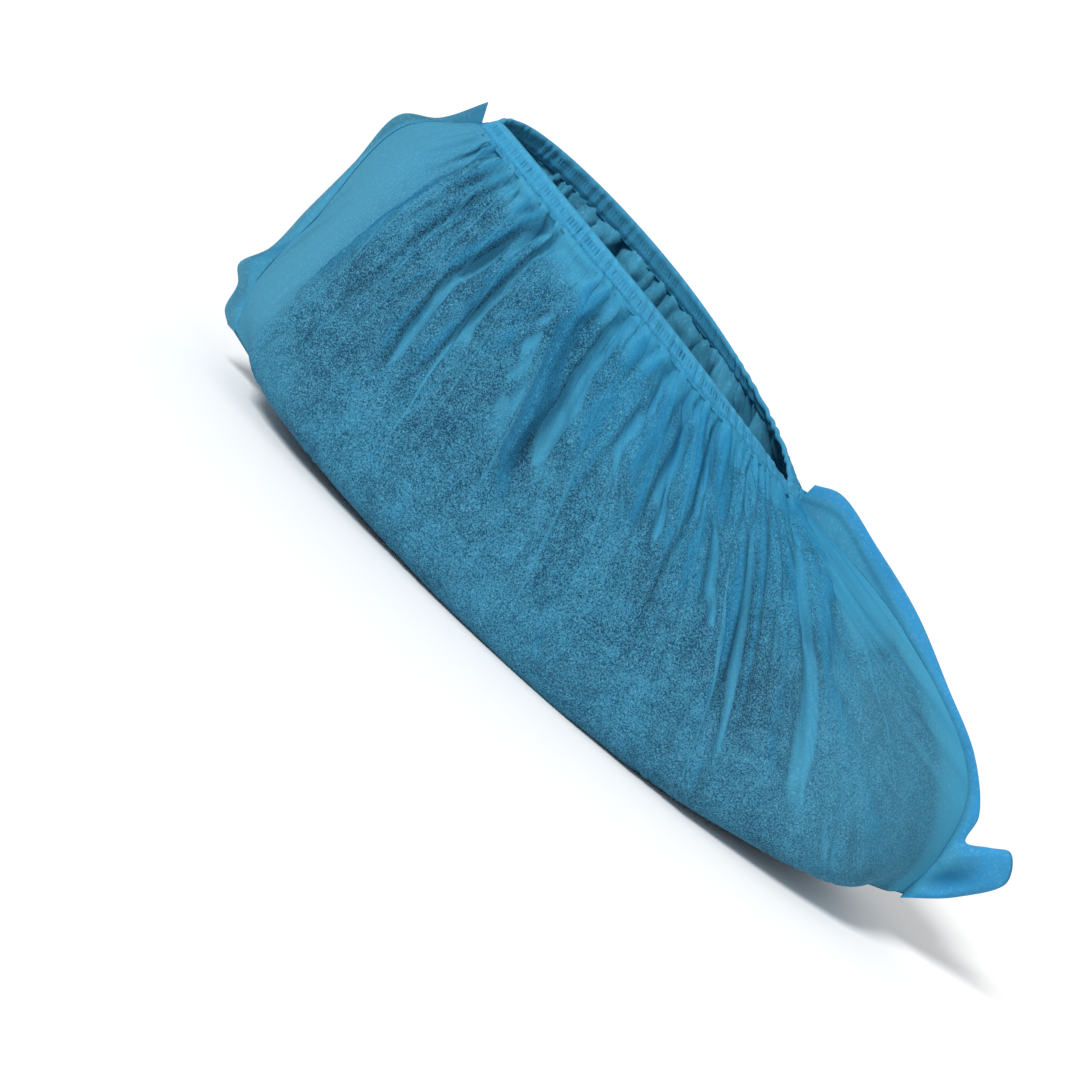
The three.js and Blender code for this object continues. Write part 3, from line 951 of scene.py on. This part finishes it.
def spunbond_cloth(colours):
    """Nonwoven cloth: speckled where it is stretched over the foot, even and light where it stands free, with
    painted highlights on ridges and pleats and painted shade in valleys and creases.
    """
    look = Look("spunbond_cloth")
    free, relief = look.field("free"), look.field("relief")
    grain, thread, patch, cloud = (look.noise(kind) for kind in (GRAIN, THREAD, PATCH, CLOUD))
    # Ridges are drawn lighter and less speckled, partly as cloth that stands off the foot and partly as a
    # painted highlight; valleys get painted shade.
    ridge = look.step(relief, *SPAN.ridge)
    valley_shade = look.step(relief, *SPAN.valley_shade)
    stretched = (1 - free) * (1 - ridge * SHOW.ridge_free) * (1 - valley_shade * SHOW.valley_free)
    pleat, crease = (lines * (1 - free) for lines in fine_pleats(look, PLEATS))
    hem_pleat, hem_crease = fine_pleats(look, HEM_PLEATS)
    heel_line, heel_lip = heel_lines(look)
    density = (patch * SHOW.patch + cloud * SHOW.cloud - 0.5) * SHOW.density
    gaps = look.step(grain + density, *SPAN.gaps) * look.step(stretched, *SPAN.stretched)
    fibres = look.step(thread, *SPAN.fibres) * (SHOW.fibre_least + stretched * SHOW.fibre_more)
    # Painted highlight on the fine pleats and the heel lip, and painted shade in the pleat creases, under the
    # hem and along the heel crease line.
    light = pleat * SHOW.pleat + heel_lip * SHOW.heel_lip
    dark = crease * SHOW.crease + hem_crease * SHOW.hem_crease + heel_line * SHOW.heel_line
    tone = sheet_tone(look, colours, stretched, valley_shade, cloud)
    tone = look.mix(fibres * SHOW.fibres, tone, colours.fibre)
    tone = look.mix(gaps * (1 - pleat * SHOW.pleat_cover) * SHOW.gaps, tone, colours.gap)
    tone = look.mix(light, tone, colours.web)
    tone = look.mix(dark, tone, colours.valley_shade)
    # Painted shade in the fold valleys, growing as the relief dips.
    tone = look.mix(valley_shade * SHOW.valley_shade, tone, colours.valley_shade)
    height = grain * RISE.grain + thread * RISE.thread + pleat * RISE.pleat + hem_pleat
    height = height - (crease + hem_crease) * RISE.crease - heel_line * RISE.heel_line
    look.paint(tone, thread, height, SHEET_MATT)
    return look.material


def plain_cloth(look, tone, kind, colours):
    """A tone with the clouds and fibres of plain cloth, and its threads."""
    thread, cloud = look.noise(kind.thread), look.noise(kind.cloud)
    tone = look.mix(look.step(cloud, *SPAN.clouds) * kind.clouds, tone, colours.panel)
    tone = look.mix(look.step(thread, *SPAN.fibres) * kind.fibres, tone, colours.fibre)
    return tone, thread


def inner_cloth(colours):
    """The same cloth seen from inside the cover."""
    look = Look("spunbond_inside")
    tone, thread = plain_cloth(look, colours.web, INSIDE_PLAIN, colours)
    look.paint(tone, thread, thread, INSIDE_MATT)
    return look.material


def double_cloth(name, root, free, colours):
    """Double cloth of the hem and the seams: from its root to its free edge, with painted shade in the small
    pleats of the hem, along the weld line and in the pinch and folds of the fins.
    """
    look = Look(name)
    edge = look.mix(look.step(look.field("edge"), *SPAN.edge), root, free)
    tone, thread = plain_cloth(look, edge, SEAM_PLAIN, colours)
    # Painted shade from the shade field, mixed towards the valley colour.
    tone = look.mix(look.field("shade"), tone, colours.valley_shade)
    look.paint(tone, thread, thread, SEAM_MATT)
    return look.material


def floor_finish(tone):
    """Matt pale floor with a trace of unevenness."""
    look = Look("floor_finish")
    look.feed(look.shader.inputs["Base Color"], (*tone, 1))
    look.feed(look.shader.inputs["Roughness"], FLOOR_ROUGH + look.noise(FLOOR_GRAIN) * FLOOR_ROUGH_SPREAD)
    return look.material


def seat(piece, node):
    """Puts a finished piece in the place of its solid."""
    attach(piece, "root")
    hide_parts(node)


def relaxed(points, bag):
    """Points with small kinks smoothed out, while the hem, the seams and the middle of the sole stay."""
    points = points.copy()
    for ids in (bag.near, bag.far):
        grid = points[ids]
        around = grid[:-2, 1:-1] + grid[2:, 1:-1] + grid[1:-1, :-2] + grid[1:-1, 2:]
        points[ids[1:-1, 1:-1]] += RELAX_SHARE * (around / 4 - grid[1:-1, 1:-1])
    return points


def cloth_pins(bag, base, drops):
    """How firmly each point is held to the worn form: by the hem, the seams, the foot and the floor."""
    drop = np.broadcast_to(drops[:, None], bag.near.shape)
    pins = PIN_FIELD + PIN_HEM * np.exp(-bag.join(drop, drop) / PIN_HEM_DROP)
    pins += PIN_FLOOR * np.clip(1 - base[:, 2] / (PIN_FLOOR_HEIGHT * MM), 0, 1)
    for ids in (bag.near, bag.far):
        pins[ids[0]] = 1
        pins[ids[:, [0, -1]]] = 1
    return np.minimum(pins, 1)


def spare_cloth(bag, slack, drops, web):
    """How much wider than the worn form the cloth is cut: in patches, and more towards the hem."""
    chance = np.random.default_rng(SEED + 3)
    patches = bag.join(patchy(chance), patchy(chance))
    drop = np.broadcast_to(drops[:, None], bag.near.shape)
    hem = HEM_SLACK * np.exp(-bag.join(drop, drop) / HEM_SLACK_DROP)
    return slack * (patches + hem * (HEM_EVENNESS + (1 - HEM_EVENNESS) * patches)) * (1 - WEB_CALM * web)


def body_points(sizes, bag, faces, shares, drops):
    """Where the body's cloth lies, with its smooth form, normals and free cloth, all for each vertex."""
    mirror = np.array([1, -1, 1])
    smooth = smooth_panel(shares, drops)
    normal = outward(smooth)
    near_main, near_fine = panel_relief(sizes, smooth, shares, drops, NEAR_FOLDS, SEED)
    far_main, far_fine = panel_relief(sizes, smooth, shares, drops, far_folds(), SEED + 1)
    base = bag.join(smooth * mirror, smooth) * MM
    normals = bag.join(normal * mirror, normal)
    main = (bag.join(near_main, far_main) * MM)[:, None] * normals
    fine = (bag.join(near_fine, far_fine) * MM)[:, None] * normals
    free = free_cloth(shares, drops)
    web = web_cloth(shares, drops)
    worn = base + SETTLED_SHARE * main + fine
    points = worn
    spare = spare_cloth(bag, sizes.slack, drops, bag.join(web, web))
    points = settle_cloth(faces, worn, cloth_pins(bag, base, drops), spare)
    points = relaxed(hold_near(points, worn, MOST_MOVE * MM), bag) + (1 - SETTLED_SHARE) * main
    points[:, 2] = np.maximum(points[:, 2], 0)
    return points, base, normals, bag.join(free, free)


class COVER_OT_body(bpy.types.Operator):
    """Make the gathered bag of nonwoven cloth"""

    bl_idname = "shoe_cover.body"
    bl_label = "Cover body"

    def execute(self, context):
        sizes = context.scene.cover_sizes
        colours = context.scene.cover_colours
        shares = np.linspace(0, 1, COLUMNS + 1)
        drops = np.linspace(0, 1, ROWS + 1)
        bag = Bag()
        faces = bag.faces()
        points, base, normals, free = body_points(sizes, bag, faces, shares, drops)
        body = new_piece("nonwoven_bag", points, faces)
        height = ((points - base) * normals).sum(-1) / MM
        local = [height[ids] - broad(height[ids]) for ids in (bag.near, bag.far)]
        set_field(body, "relief", bag.join(*local))
        set_field(body, "free", free)
        for name, grid in zip(("share", "drop"), np.meshgrid(shares, drops)):
            set_field(body, name, bag.join(grid, grid))
        body.data.materials.append(spunbond_cloth(colours))
        body.data.materials.append(inner_cloth(colours))
        wall = body.modifiers.new("wall", "SOLIDIFY")
        wall.thickness = sizes.cloth_thickness
        wall.offset = -1
        wall.material_offset = 1
        seat(body, "cover_body")
        return {"FINISHED"}


def hem_course():
    """Stations round the opening: the way travelled in millimetres, the share of the panel and the side."""
    places = np.linspace(0, 1, COURSE_STEPS + 1)
    arc = way(rim(places))
    along = np.arange(HEM_STATIONS) * 2 * arc[-1] / HEM_STATIONS
    travel = np.minimum(along, 2 * arc[-1] - along)
    side = np.where(along <= arc[-1], 1, -1)
    return along, np.interp(travel, arc, places), side


def hem_axes(shares):
    """Points of the rim on one side, with the directions up and out of it."""
    top, below = panel_lines(shares, np.array([0, RIM_STEP]))
    up = unit(top - below)
    run = rim(np.clip(shares + RIM_STEP, 0, 1)) - rim(np.clip(shares - RIM_STEP, 0, 1))
    return top, up, unit(np.cross(up, run))


def swells(along, count, chance):
    """A smooth random wave round the hem, from about -1 to 1, that joins up at its ends."""
    turn = 2 * math.pi * along / (along[-1] + along[1])
    numbers = range(SWELL_FIRST, SWELL_FIRST + SWELL_STEP * count, SWELL_STEP)
    waves = [np.cos(number * turn + chance.uniform(0, 2 * math.pi)) for number in numbers]
    return np.sum(waves, axis=0) / math.sqrt(count)


def hem_ticks(sizes, along, rise, chance):
    """Depth of the small pleats over the hem, from 0 to about 1."""
    count = round((along[-1] + along[1]) / (sizes.tick_pitch / MM))
    drift = np.cumsum(chance.normal(0, TICK_JITTER, HEM_STATIONS))
    drift -= drift[-1] * along / along[-1]
    phase = 2 * math.pi * count * along / (along[-1] + along[1]) + drift
    uneven = chance.uniform(*TICK_STRENGTHS, count)[np.round(phase / (2 * math.pi)).astype(int) % count]
    ticks = np.zeros((HEM_STATIONS, HEM_LANES))
    for row in TICK_ROWS:
        swell = TICK_MEAN + TICK_SWELL * swells(along, TICK_SWELLS, chance)
        strength = row.strength * np.clip(swell, TICK_LEAST, 1)
        band = step(rise, row.low, row.low + TICK_EDGE) * (1 - step(rise, row.high - TICK_EDGE, row.high))
        wave = 0.5 + 0.5 * np.cos(phase[:, None] + TICK_SLANT * rise[None])
        ticks += (strength * uneven)[:, None] * band[None] * wave
    return ticks


def hem_ring(sizes, chance):
    """Cross-sections of the hem all round the opening in millimetres, and the shade of their pleats."""
    along, shares, side = hem_course()
    top, up, out = hem_axes(shares)
    height = sizes.hem_height / MM
    lane = np.linspace(0, 1, HEM_LANES)
    rise = -HEM_OVERLAP + lane * (height + HEM_OVERLAP)
    rounded = np.sqrt(np.maximum(1 - (2 * lane - 1) ** HEM_ROUND, 0))
    roll = np.exp(-((rise - height + HEM_ROLL) / HEM_ROLL) ** 2)
    foot = step(rise, -HEM_OVERLAP, HEM_FOOT)
    face = sizes.hem_thickness / MM / 2 * rounded * foot * (HEM_FLAT + (1 - HEM_FLAT) * roll)
    ticks = hem_ticks(sizes, along, rise, chance)
    drift = HEM_RIPPLE_DRIFT * swells(along, TICK_SWELLS, chance)
    ripple = HEM_RIPPLE * np.sin(2 * math.pi * along / HEM_RIPPLE_LENGTH + drift)
    depth = sizes.tick_depth / MM * ticks
    outer = face + ripple[:, None] * rounded - depth
    inner = -face + ripple[:, None] * rounded + depth / 2
    ring = np.concatenate([outer, inner[:, -2:0:-1]], 1) - HEM_INSET
    rises = np.concatenate([rise, rise[-2:0:-1]])
    points = top[:, None] + out[:, None] * ring[..., None] + up[:, None] * rises[None, :, None]
    points[..., 1] *= side[:, None]
    shade = np.concatenate([ticks, ticks[:, -2:0:-1]], 1)
    edge = np.broadcast_to(np.concatenate([lane, lane[-2:0:-1]]), shade.shape)
    return points, shade, edge


class COVER_OT_hem(bpy.types.Operator):
    """Make the ruched hem that holds the elastic"""

    bl_idname = "shoe_cover.hem"
    bl_label = "Elastic hem"

    def execute(self, context):
        sizes = context.scene.cover_sizes
        colours = context.scene.cover_colours
        points, shade, edge = hem_ring(sizes, np.random.default_rng(SEED + 2))
        ids = np.arange(shade.size).reshape(shade.shape)
        hem = new_piece("ruched_hem", points.reshape(-1, 3) * MM, ring_faces(ids, np.roll(ids, -1, 0)))
        set_field(hem, "shade", TICK_SHADE * shade)
        set_field(hem, "edge", edge)
        hem.data.materials.append(double_cloth("hem_cloth", colours.hem_foot, colours.hem, colours))
        seat(hem, "elastic_hem")
        return {"FINISHED"}


def toe_form(station, lane, depth):
    """Swelling of the toe fin in millimetres, its welded band, and the shade of its line and pouch."""
    ear = step(station, EAR_START, EAR_FULL)
    band = np.minimum((WELD_BAND + EAR_BAND * ear)[:, None], depth[:, :1])
    line = np.exp(-((depth - band) / WELD_LINE) ** 2)
    along = np.exp(-((station - EAR_PINCH.along) / EAR_PINCH.length) ** 2)
    across = np.exp(-((lane - EAR_PINCH.across) / EAR_PINCH.width) ** 2)
    pinch = along[:, None] * across[None]
    course = ear * (1 - step(station, EAR_END, 1))
    swell = EAR_SWELL * course[:, None] * np.sin(math.pi * lane)[None] * (1 - pinch)
    shade = np.maximum(WELD_LINE_SHADE * line, EAR_PINCH.shade * pinch)
    return swell, np.clip(1 - depth / band, 0, 1), shade


def heel_form(station, lane, depth):
    """A fin that is flat all over, with a pale band, and painted shade where it is folded."""
    shade = np.zeros_like(depth)
    for fold in HEEL_FOLDS:
        shade += fold.shade * np.exp(-((station - fold.along) / fold.length) ** 2)[:, None]
    return np.zeros_like(depth), np.clip(1 - depth / HEEL_BAND, 0, 1), shade


def fin_plate(share, edge, station, lane):
    """Middle surface of a fin between its seam and its free outline, its width and the length of its edge."""
    root = panel_lines(np.array([share]), station)[:, 0]
    root[:, 1] = 0
    places = np.interp(station, [point.drop for point in edge], np.linspace(0, 1, len(edge)))
    free = spline(np.array([(point.x, 0, point.z) for point in edge], float), places)
    root = root - FIN_ROOT_INSET * unit(free - root)
    plate = root[:, None] + (free - root)[:, None] * lane[None, :, None]
    return plate, np.linalg.norm(free - root, axis=-1), way(free)


def seam_fin(context, finish, name, node, share, edge, form):
    """A thin welded fin along a seam of the body."""
    sizes = context.scene.cover_sizes
    station = np.linspace(0, 1, FIN_STATIONS + 1)
    lane = np.linspace(0, 1, FIN_LANES + 1)
    plate, width, arc = fin_plate(share, edge, station, lane)
    drift = FIN_WAVE_SWING * np.sin(arc / FIN_WAVE_DRIFT)
    wave = np.sin(arc / FIN_WAVE_LENGTH + drift) * step(station, 0, FIN_WAVE_START)
    plate[..., 1] += sizes.fin_wave / MM * wave[:, None] * lane[None] ** FIN_WAVE_CURL
    swell, band, shade = form(station, lane, width[:, None] * (1 - lane)[None])
    half = sizes.fin_thickness / MM / 2 * np.sqrt(np.maximum(1 - lane ** FIN_ROUND, 0)) + swell
    offset = half[..., None] * np.array([0, 1, 0])
    ring = np.concatenate([plate - offset, (plate + offset)[:, -2::-1]], 1)
    ids = np.arange(ring.shape[0] * ring.shape[1]).reshape(ring.shape[:2])
    fin = new_piece(name, ring.reshape(-1, 3) * MM, ring_faces(ids[:-1], ids[1:]))
    set_field(fin, "shade", np.concatenate([shade, shade[:, -2::-1]], 1))
    set_field(fin, "edge", np.concatenate([band, band[:, -2::-1]], 1))
    fin.data.materials.append(finish)
    seat(fin, node)


class COVER_OT_fins(bpy.types.Operator):
    """Make the welded fins at the toe and the heel"""

    bl_idname = "shoe_cover.fins"
    bl_label = "Seam fins"

    def execute(self, context):
        colours = context.scene.cover_colours
        toe_finish = double_cloth("toe_weld_cloth", colours.web, colours.weld, colours)
        heel_finish = double_cloth("heel_weld_cloth", colours.web, colours.pale, colours)
        seam_fin(context, toe_finish, "toe_weld", "toe_seam_fin", 1.0, TOE_EDGE, toe_form)
        seam_fin(context, heel_finish, "heel_weld", "heel_seam_fin", 0.0, HEEL_EDGE, heel_form)
        return {"FINISHED"}


def make_floor(studio):
    """A wide flat disc for the cover to stand on."""
    turn = np.linspace(0, 2 * math.pi, FLOOR_SIDES, endpoint=False)
    circle = np.stack([np.cos(turn), np.sin(turn), 0 * turn], -1)
    points = np.concatenate([radius * circle for radius in FLOOR_RADII])
    faces = [list(range(FLOOR_SIDES))]
    for ring in range(len(FLOOR_RADII) - 1):
        for side in range(FLOOR_SIDES):
            ahead = (side + 1) % FLOOR_SIDES
            inner, outer = FLOOR_SIDES * ring, FLOOR_SIDES * (ring + 1)
            faces.append([inner + side, outer + side, outer + ahead, inner + ahead])
    mesh = bpy.data.meshes.new("floor")
    mesh.from_pydata(points.tolist(), [], faces)
    mesh.materials.append(floor_finish(studio.floor))
    floor = bpy.data.objects.new("floor", mesh)
    bpy.context.scene.collection.objects.link(floor)


def make_light(studio):
    """Even light from all round, and one broad soft light."""
    scene = bpy.context.scene
    world = bpy.data.worlds.new("sky")
    world.use_nodes = True
    sky = world.node_tree.nodes["Background"]
    sky.inputs["Color"].default_value = (1, 1, 1, 1)
    sky.inputs["Strength"].default_value = studio.sky
    scene.world = world
    scene.view_settings.view_transform = "Standard"
    sun = bpy.data.lights.new("key_light", "SUN")
    sun.energy = studio.key
    sun.angle = studio.key_spread
    key = bpy.data.objects.new("key_light", sun)
    key.rotation_euler = Vector(studio.key_way).to_track_quat("-Z", "Y").to_euler()
    scene.collection.objects.link(key)


def make_camera(studio):
    """A camera that looks along +Y and down, rolled about its own axis."""
    scene = bpy.context.scene
    ahead = Vector((0, math.cos(studio.elevation), -math.sin(studio.elevation)))
    level = Vector((1, 0, 0))
    above = level.cross(ahead)
    right = math.cos(studio.roll) * level + math.sin(studio.roll) * above
    top = math.cos(studio.roll) * above - math.sin(studio.roll) * level
    lens = bpy.data.cameras.new("camera")
    lens.lens = lens.sensor_width * studio.distance / studio.view_width
    camera = bpy.data.objects.new("camera", lens)
    place = Matrix((right, top, -ahead)).transposed().to_4x4()
    place.translation = Vector(studio.aim) - ahead * studio.distance
    camera.matrix_world = place
    scene.collection.objects.link(camera)
    scene.camera = camera


class COVER_OT_stage(bpy.types.Operator):
    """Make the floor, the light and the camera"""

    bl_idname = "shoe_cover.stage"
    bl_label = "Stage"

    def execute(self, context):
        studio = context.scene.cover_studio
        make_floor(studio)
        make_light(studio)
        make_camera(studio)
        return {"FINISHED"}


class COVER_PT_panel(bpy.types.Panel):
    """Lists the pieces of the shoe cover and its settings"""

    bl_idname = "COVER_PT_panel"
    bl_label = "Shoe Cover"
    bl_space_type = "VIEW_3D"
    bl_region_type = "UI"
    bl_category = "Shoe Cover"

    def draw(self, context):
        layout = self.layout
        for operator in OPERATORS:
            layout.operator(operator.bl_idname)
        for group in (getattr(context.scene, name) for name in GROUPS):
            box = layout.box()
            for name in group.__annotations__:
                box.prop(group, name)


GROUPS = {"cover_sizes": CoverSizes, "cover_colours": CoverColours, "cover_studio": CoverStudio}
OPERATORS = (COVER_OT_stage, COVER_OT_body, COVER_OT_hem, COVER_OT_fins)
CLASSES = (*GROUPS.values(), *OPERATORS, COVER_PT_panel)


def register():
    for made in CLASSES:
        bpy.utils.register_class(made)
    for name, group in GROUPS.items():
        setattr(bpy.types.Scene, name, PointerProperty(type=group))


def unregister():
    for name in GROUPS:
        delattr(bpy.types.Scene, name)
    for made in reversed(CLASSES):
        bpy.utils.unregister_class(made)


def main():
    register()
    bpy.ops.shoe_cover.stage()
    bpy.ops.shoe_cover.body()
    bpy.ops.shoe_cover.hem()
    bpy.ops.shoe_cover.fins()
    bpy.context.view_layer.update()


if __name__ == "__main__":
    main()
